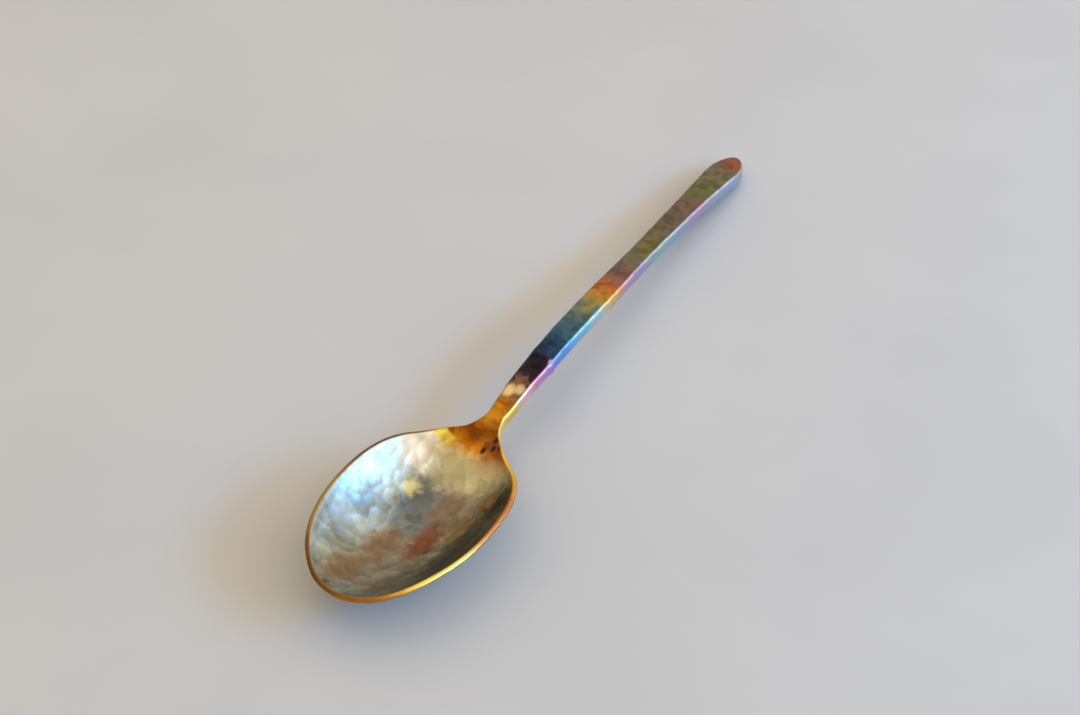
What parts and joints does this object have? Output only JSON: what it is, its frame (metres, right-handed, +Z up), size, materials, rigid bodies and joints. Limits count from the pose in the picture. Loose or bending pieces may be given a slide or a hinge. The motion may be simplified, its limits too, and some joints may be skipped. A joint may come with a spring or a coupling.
{
  "type": "bar spoon",
  "caption": "Hand-forged spoon with a shallow egg-shaped bowl, a narrow neck and a flat, gently arched handle that flares at its rounded end.",
  "frame": {"origin": "on the table, under the middle of the spoon's length, as it lies at rest", "axes": "+Y from the bowl to the end of the handle, +Z up out of the bowl, X across"},
  "size_m": [0.0326, 0.16, 0.0103],
  "materials": {
    "bowl_metal": "hammered, satin, silvery with straw and copper heat tints",
    "neck_metal": "hammered, satin, heat-coloured bronze and amber",
    "handle_metal": "hammered, satin, heat-coloured purple, blue, gold, rose and olive"
  },
  "bodies": {
    "root": {"bowl": "bowl_metal", "neck": "neck_metal", "handle": "handle_metal"}
  },
  "joints": []
}
